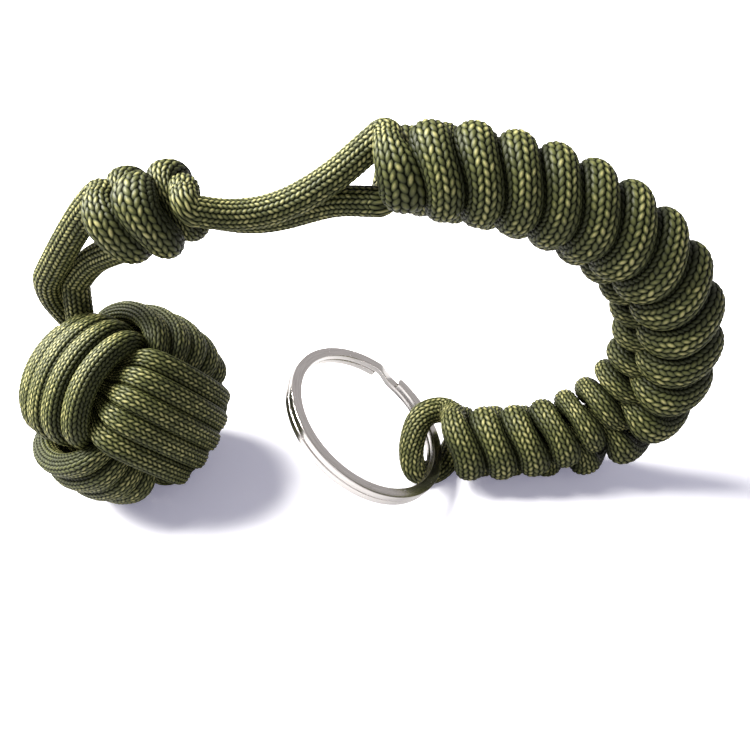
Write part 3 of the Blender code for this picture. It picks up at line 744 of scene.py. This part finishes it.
# %% way-points of the free stretches
FIST_NECK_FRONT = [(-47.9, 6.9, 23.6), (-49.6, 8.3, 26.4), (-51.4, 8.6, 30.2), (-51.0, 7.0, 34.2),
                   (-49.2, 5.4, 37.8), (-46.8, 4.2, 41.2), (-43.6, 3.4, 45.2), (-40.2, 2.8, 49.6)]
FIST_NECK_BACK = [(-47.4, 6.8, 31.8), (-46.8, 7.2, 35.4), (-45.0, 7.2, 38.6), (-42.2, 6.2, 41.0),
                  (-38.4, 3.6, 42.0)]
NECK_FRONT = [(-21.3, -2.0, 49.4), (-17.9, -1.2, 48.9), (-14.5, -1.0, 49.2), (-11.6, -1.2, 50.4),
              (-8.7, -1.2, 52.3), (-5.9, -0.8, 54.0), (-3.5, 0.2, 55.4), (-1.9, 1.4, 57.6)]
NECK_BACK = [(-21.2, 2.9, 46.9), (-17.9, 2.6, 46.3), (-14.5, 2.5, 46.6), (-11.4, 2.6, 48.0),
             (-8.5, 2.5, 50.0), (-5.8, 2.3, 51.6), (-3.6, 0.8, 52.2), (-1.4, -1.4, 52.0)]
STRAIGHT = 2.0  # run of a free cord straight on from the wound one it meets
TURN_STEP = 0.002  # turns to either side from which a strand's direction is read


def strand_end(middle, side, turn, way):
    """The point at a strand's cut end and the one STRAIGHT further on, where the cord runs on
    square to the cut: way 1 past the last turn, -1 before the first."""
    points = middle(side, np.array([turn - TURN_STEP, turn, turn + TURN_STEP]))[0]
    return [points[1], points[1] + way * STRAIGHT * unit(points[2] - points[0])]


# %% easing the strands apart
EASED_STEP = 1.0  # between the points that are eased apart
EASED_GAP = 4.05  # between the strands' middles
EASED_HELD = 4  # points held at each end, to keep its direction
EASED_ROUNDS = 400
EASED_SHARE = 0.25  # share of its pushes that a point takes in a round,
EASED_PUSH = 0.3  # the most that it moves by them,
EASED_LEVEL = 0.25  # and the shares by which it is drawn level with its neighbours
EASED_BACK = 0.004  # and back to its drawn place
HELD_EVERY = 12  # every how many fine points the knot stands in the cords' way


def ease_apart(ropes, held, gap):
    """Push points of ropes away from each other until they lie gap apart, keeping each rope
    smooth, near its drawn route and fixed where its points are held."""
    sizes = [len(rope) for rope in ropes]
    points = np.concatenate(ropes)
    drawn = points.copy()
    rope_of = np.repeat(np.arange(len(ropes)), sizes)
    place = np.concatenate([np.arange(size) for size in sizes])
    free = ~np.concatenate(held)[:, None]
    near = np.abs(place[:, None] - place) * EASED_STEP < 2 * gap
    beside = (rope_of[:, None] == rope_of) & near
    for _ in range(EASED_ROUNDS):
        apart = points[:, None] - points
        far = np.linalg.norm(apart, axis=2) + 1e-9
        lack = np.where(beside, 0, np.clip(gap - far, 0, None))
        push = (apart * (lack / far)[..., None]).sum(1) * EASED_SHARE
        points = points + np.clip(push, -EASED_PUSH, EASED_PUSH) * free
        level = np.zeros_like(points)
        level[1:-1] = (points[:-2] + points[2:]) / 2 - points[1:-1]
        points = points + (level * EASED_LEVEL + (drawn - points) * EASED_BACK) * free
    return np.split(points, np.cumsum(sizes)[:-1])


ropes, held = [], []
for side, fist_neck, neck in ((1, FIST_NECK_FRONT, NECK_FRONT), (-1, FIST_NECK_BACK, NECK_BACK)):
    turn = np.linspace(STOPPER_FIRST[side], STOPPER_LAST[side], FINE)
    rope = [evenly(fist_neck + strand_end(stopper_middle, side, STOPPER_FIRST[side], -1)[::-1],
                   EASED_STEP),
            evenly(stopper_middle(side, turn)[0][::HELD_EVERY], EASED_STEP),
            evenly(strand_end(stopper_middle, side, STOPPER_LAST[side], 1) + neck
                   + strand_end(sinnet_middle, side, FIRST_TURN[side], -1)[::-1], EASED_STEP)]
    for part, fixed in zip(rope, (False, True, False)):
        still = np.full(len(part), fixed)
        still[:EASED_HELD] = still[-EASED_HELD:] = True
        held.append(still)
    ropes.append(np.concatenate(rope))
cuts = np.cumsum([len(still) for still in held])
stretches = np.split(np.concatenate(ease_apart(ropes, held, EASED_GAP)), cuts[:-1])
free_routes = {("fist_neck", "front"): stretches[0], ("neck", "front"): stretches[2],
               ("fist_neck", "back"): stretches[3], ("neck", "back"): stretches[5]}
print(sum(map(len, ropes)), "points eased apart")

# %% [markdown]
# The strand that goes straight down into the ball is hidden after a few millimetres, but its end
# must not show in the gap between the bands, so its tube goes on a little under the winding.
#
# A free cord is a little thicker than one that is pulled tight in a knot, and it narrows towards
# its two ends.

# %% the free stretches and the knot
FREE_STEP = 0.21  # between rings of mesh points
INTO_BALL = 8.2  # the hidden run under the winding
NECK_CORDS = {"fist_neck": 4.3, "neck": 4.1}
NECK_NARROWS = 5.0  # length of each end in which the cord narrows
TO_THE_FRONT = np.array([0.3, -0.9, 0.2])
FREE_SQUARE = 2.0
STOPPER_PLUMP = 1.08
for (part, strand), route in free_routes.items():
    points = evenly(route, FREE_STEP)
    if (part, strand) == ("fist_neck", "back"):
        down = np.arange(-INTO_BALL, 0, FREE_STEP)[:, None] * unit(points[1] - points[0])
        points = np.concatenate([points[0] + down, points])
    across = carried_across(points, TO_THE_FRONT)
    run = run_length(points)
    inside = eased(np.minimum(run, run[::-1]) / NECK_NARROWS)
    half = CORD / 2 + (NECK_CORDS[part] - CORD) / 2 * inside
    piece = braided_cord("cord_" + part + "_" + strand, points, across, half, half, FREE_SQUARE)
    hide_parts(part + "_" + strand)
    if part == "neck":
        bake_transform(piece)
    else:
        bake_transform(piece)
for strand, side in (("front", 1), ("back", -1)):
    ends = STOPPER_FIRST[side], STOPPER_LAST[side]
    piece = knot_piece("cord_stopper_" + strand, stopper_middle, side, *ends, ends,
                       STOPPER_PLUMP)
    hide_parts("stopper_" + strand)
    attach(piece, "stopper_knot")

# %% [markdown]
# ## The loop that holds the ring
#
# At the sinnet's lower end, one strand leaves on top, goes round through the ring and comes back
# as the other strand. The wire turns inside this loop, so the loop is pressed thinner wherever
# its middle runs too near the circle that the wire's corners describe.

# %% the ring's place
RING_OUTER = 15.0
WIRE_WIDTH = 1.8  # across the flat face
WIRE_DEPTH = 1.1  # one turn
RING_AT = np.array([10.2, 1.2, 5.2])  # the wire's middle in the bight
RING_FACE = unit((0.568, -0.075, 0.820))
RING_OUT = np.array([0.813, 0.188, -0.552])
RING_OUT = unit(RING_OUT - (RING_OUT @ RING_FACE) * RING_FACE)
RING_ROUND = np.cross(RING_FACE, RING_OUT)
RING_MIDDLE = RING_OUTER - WIRE_WIDTH / 2
RING_CENTRE = RING_AT - RING_MIDDLE * RING_OUT
print("the ring's centre lies at", RING_CENTRE.round(1), "mm")

# %% the bight
SWING_ROOM = math.hypot(WIRE_WIDTH / 2, WIRE_DEPTH) + 0.4  # the wire's corners, and a little
BIGHT_LEAD = 1.6  # over which the cord flattens from its round ends
BIGHT_HALF_WIDTH = 2.2
BIGHT_HALF_DEPTH = (1.1, 2.1)  # least and most
BIGHT_SQUARE = 2.3
BIGHT = [(12.0, 4.6, 10.3), (9.8, 4.4, 10.2), (7.8, 3.0, 9.4), (6.7, 1.0, 7.6), (6.3, -1.0, 5.3),
         (7.2, -2.5, 2.7), (10.0, -1.6, 1.3), (13.2, 1.8, 1.5)]
upper, lower = (strand_end(sinnet_middle, side, LAST_TURN[side], 1) for side in (-1, 1))
points = evenly(upper + BIGHT + lower[::-1], FREE_STEP)
run = run_length(points)
flat = eased(np.minimum(run, run[-1] - run) / BIGHT_LEAD)
from_wire = points - RING_AT
clear = np.hypot(from_wire @ RING_OUT, from_wire @ RING_FACE) - SWING_ROOM
deep = np.clip(clear, *BIGHT_HALF_DEPTH)
bight = braided_cord("cord_ring_bight", points, np.broadcast_to(RING_ROUND, points.shape),
                     CORD / 2 + (BIGHT_HALF_WIDTH - CORD / 2) * flat,
                     CORD / 2 + (deep - CORD / 2) * flat, BIGHT_SQUARE, floor=0.0)
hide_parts("ring_bight")
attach(bight, "lower_run")
print("the bight is %.1f mm long" % run[-1])

# %% [markdown]
# ## The split ring
#
# A split ring is flat wire wound into two turns that lie on each other. Somewhere the wire has to
# step from the lower turn to the upper one, and that joggle is the ring's mark. The wire's
# section is a rectangle with rounded corners, carried along the two turns.

# %% the wire's section and its two turns
TURN_GAP = 0.05
JOGGLE = math.radians(16)  # the arc in which the wire steps up a turn
WIRE_START = math.radians(75)  # from the bight round to the wire's lower end
WIRE_SHORT = math.radians(3)  # how much of the second turn is left off at its end
WIRE_STATIONS = 720
EDGE = 0.16  # radius of the wire's rounded edges
CORNER_POINTS = 5
END_CLOSES = 0.22  # share by which the wire's cut ends are rounded in,
END_OVER = 0.02  # and over what angle, in radians


def wire_section():
    """Corners of a rounded rectangle: four quarter circles of radius EDGE, moved out to the
    rectangle's corners less that radius."""
    quarter = np.linspace(0, math.pi / 2, CORNER_POINTS)
    angles = quarter[None, :] + np.arange(4)[:, None] * math.pi / 2
    move = np.array([(1, 1), (-1, 1), (-1, -1), (1, -1)])
    reach = np.array([WIRE_WIDTH / 2 - EDGE, WIRE_DEPTH / 2 - EDGE])
    corners = move[:, None] * reach + EDGE * np.stack([np.cos(angles), np.sin(angles)], -1)
    return corners.reshape(-1, 2)


turned = np.linspace(0, 4 * math.pi - JOGGLE - WIRE_SHORT, WIRE_STATIONS)
rise = WIRE_DEPTH + TURN_GAP
level = (eased((turned - 2 * math.pi + JOGGLE) / JOGGLE) - 0.5) * rise
angle = WIRE_START + turned
spoke = np.cos(angle)[:, None] * RING_OUT + np.sin(angle)[:, None] * RING_ROUND
section = wire_section()
close_in = 1 - END_CLOSES * (1 - eased(np.minimum(turned, turned[-1] - turned) / END_OVER))
radial = RING_MIDDLE + section[None, :, 0] * close_in[:, None]
axial = level[:, None] + section[None, :, 1] * close_in[:, None]
rings = RING_CENTRE + radial[..., None] * spoke[:, None] + axial[..., None] * RING_FACE
rings = rings[:, ::-1]
ring_mesh = tube_mesh("ring_wire", rings, 1.0, turned / math.tau)
ring_wire = placed("ring_wire", ring_mesh)
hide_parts("split_ring")
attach(ring_wire, "ring")
print("ring wire:", len(ring_mesh.vertices), "vertices")

# %% [markdown]
# ## Nickel plate and core steel
#
# The plate is bright with fine rubbing marks along the wire and small scuffs from keys. The marks
# are noise stretched along the wire: the UV map's second number counts turns, so scaling the
# first number far more than the second draws long thin lines.

# %% nickel plate
RUB_LINES = (160.0, 24.0, 1.0)  # marks across the wire and along one turn
PLATE_ROUGH = (0.10, 0.16)  # roughness, and how much more in a rubbing mark,
SCUFF_ROUGH = 0.12  # and in a scuff

nickel, wires, shader = new_finish("nickel_plate")
shader.inputs["Metallic"].default_value = 1.0
ring_uv = wires.put("ShaderNodeUVMap", uv_map="braid")
lines = wires.put("ShaderNodeMapping", {"Vector": ring_uv.outputs["UV"], "Scale": RUB_LINES})
rubbing = wires.noise(lines.outputs["Vector"], 1.0, 4.0)
object_place = wires.put("ShaderNodeTexCoord").outputs["Object"]
scuffs = wires.noise(object_place, 900.0, 5.0)
scuff_mask = wires.ramp(scuffs, [(0.0, (0, 0, 0)), (0.60, (0, 0, 0)), (0.72, (1, 1, 1))])
rough = wires.math("MULTIPLY_ADD", rubbing, PLATE_ROUGH[1], PLATE_ROUGH[0])
wires.join(wires.math("MULTIPLY_ADD", scuff_mask, SCUFF_ROUGH, rough),
           shader.inputs["Roughness"])
plate = wires.ramp(rubbing, [(0.2, (0.56, 0.53, 0.51)), (0.8, (0.74, 0.71, 0.69))])
wires.join(plate, shader.inputs["Base Color"])
bump = wires.put("ShaderNodeBump", {"Height": rubbing, "Strength": 0.15, "Distance": 0.00003})
wires.join(bump.outputs["Normal"], shader.inputs["Normal"])
ring_mesh.materials.append(nickel)
print("nickel plate has", len(nickel.node_tree.nodes), "nodes")

# %% core steel
CORE_ROUGH = (0.2, 0.2)  # roughness, and how much more in the grain

core, wires, shader = new_finish("core_ball_steel")
shader.inputs["Metallic"].default_value = 1.0
object_place = wires.put("ShaderNodeTexCoord").outputs["Object"]
grain = wires.noise(object_place, 400.0, 4.0)
wires.join(wires.math("MULTIPLY_ADD", grain, CORE_ROUGH[1], CORE_ROUGH[0]),
           shader.inputs["Roughness"])
steel = wires.ramp(grain, [(0.3, (0.38, 0.38, 0.39)), (0.7, (0.50, 0.50, 0.51))])
wires.join(steel, shader.inputs["Base Color"])
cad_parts["core_ball"].material_slots[0].material = core
print("the core ball wears", core.name)

# %% [markdown]
# ## Floor and light
#
# The photograph was taken on white paper in broad soft light from the upper left, so the shadows
# are pale and fall to the right. A large sheet stands for the paper. The camera sees it almost
# white, and a painted lavender glow, which only the camera sees, lifts and tints its shadows;
# other rays find it greyer, so that it doesn't wash out the dark undersides of the cord. A square
# lamp at the upper left stands for the window, and a weak one for the room. The sky is white for
# the camera, so that low views have a white background too, middle grey in the ring's
# reflections, and dim otherwise.

# %% the paper
PAPER_HALF = 1.5

paper_mesh = bpy.data.meshes.new("paper")
paper_corners = [(x * PAPER_HALF, y * PAPER_HALF, 0)
                 for x, y in ((-1, -1), (1, -1), (1, 1), (-1, 1))]
paper_mesh.from_pydata(paper_corners, [], [(0, 1, 2, 3)])
paper = placed("paper", paper_mesh)
paper_finish, wires, shader = new_finish("white_paper")
shader.inputs["Roughness"].default_value = 0.9
shader.inputs["Specular IOR Level"].default_value = 0.0
seen = wires.put("ShaderNodeLightPath").outputs["Is Camera Ray"]
sheet = wires.ramp(seen, [(0.0, (0.45, 0.45, 0.46)), (1.0, (0.93, 0.925, 0.94))])
wires.join(sheet, shader.inputs["Base Color"])
# painted light: a lavender glow that only the camera sees, which lifts the paper's shadows
wires.join(wires.ramp(seen, [(0.0, (0.0, 0.0, 0.0)), (1.0, (0.17, 0.165, 0.23))]),
           shader.inputs["Emission Color"])
shader.inputs["Emission Strength"].default_value = 1.0
paper_mesh.materials.append(paper_finish)

# %% the light
LIT = np.array([0.0, 0.0, 0.03])
SKY = [(0.0, (0.24, 0.24, 0.27)), (0.5, (0.56, 0.54, 0.54)), (1.0, (1.0, 1.0, 1.0))]


def softbox(name, place, target, size, power, colour):
    """A square lamp at place that faces target, both in metres."""
    data = bpy.data.lights.new(name, "AREA")
    data.size = size
    data.energy = power
    data.color = colour
    lamp = placed(name, data)
    away = unit(np.asarray(place, float) - target)
    flat = math.hypot(away[0], away[1])
    lamp.location = place
    turned_to = math.atan2(away[1], away[0]) + math.pi / 2
    lamp.rotation_euler = (math.atan2(flat, away[2]), 0, turned_to)


softbox("window", (-0.40, 0.08, 0.45), LIT, size=0.38, power=19.0, colour=(1.0, 0.985, 0.95))
softbox("room", (0.30, -0.50, 0.50), LIT, size=0.50, power=0.8, colour=(0.96, 0.96, 1.0))

world = bpy.data.worlds.new("studio")
bpy.context.scene.world = world
world.use_nodes = True
wires = Wires(world.node_tree)
sky = world.node_tree.nodes["Background"]
ray = wires.put("ShaderNodeLightPath").outputs
seen = wires.math("MULTIPLY_ADD", ray["Is Glossy Ray"], 0.5, ray["Is Camera Ray"])
wires.join(wires.ramp(seen, SKY), sky.inputs["Color"])
bpy.context.scene.view_settings.view_transform = "Standard"
print("lamps:", [lamp.name for lamp in bpy.data.lights])
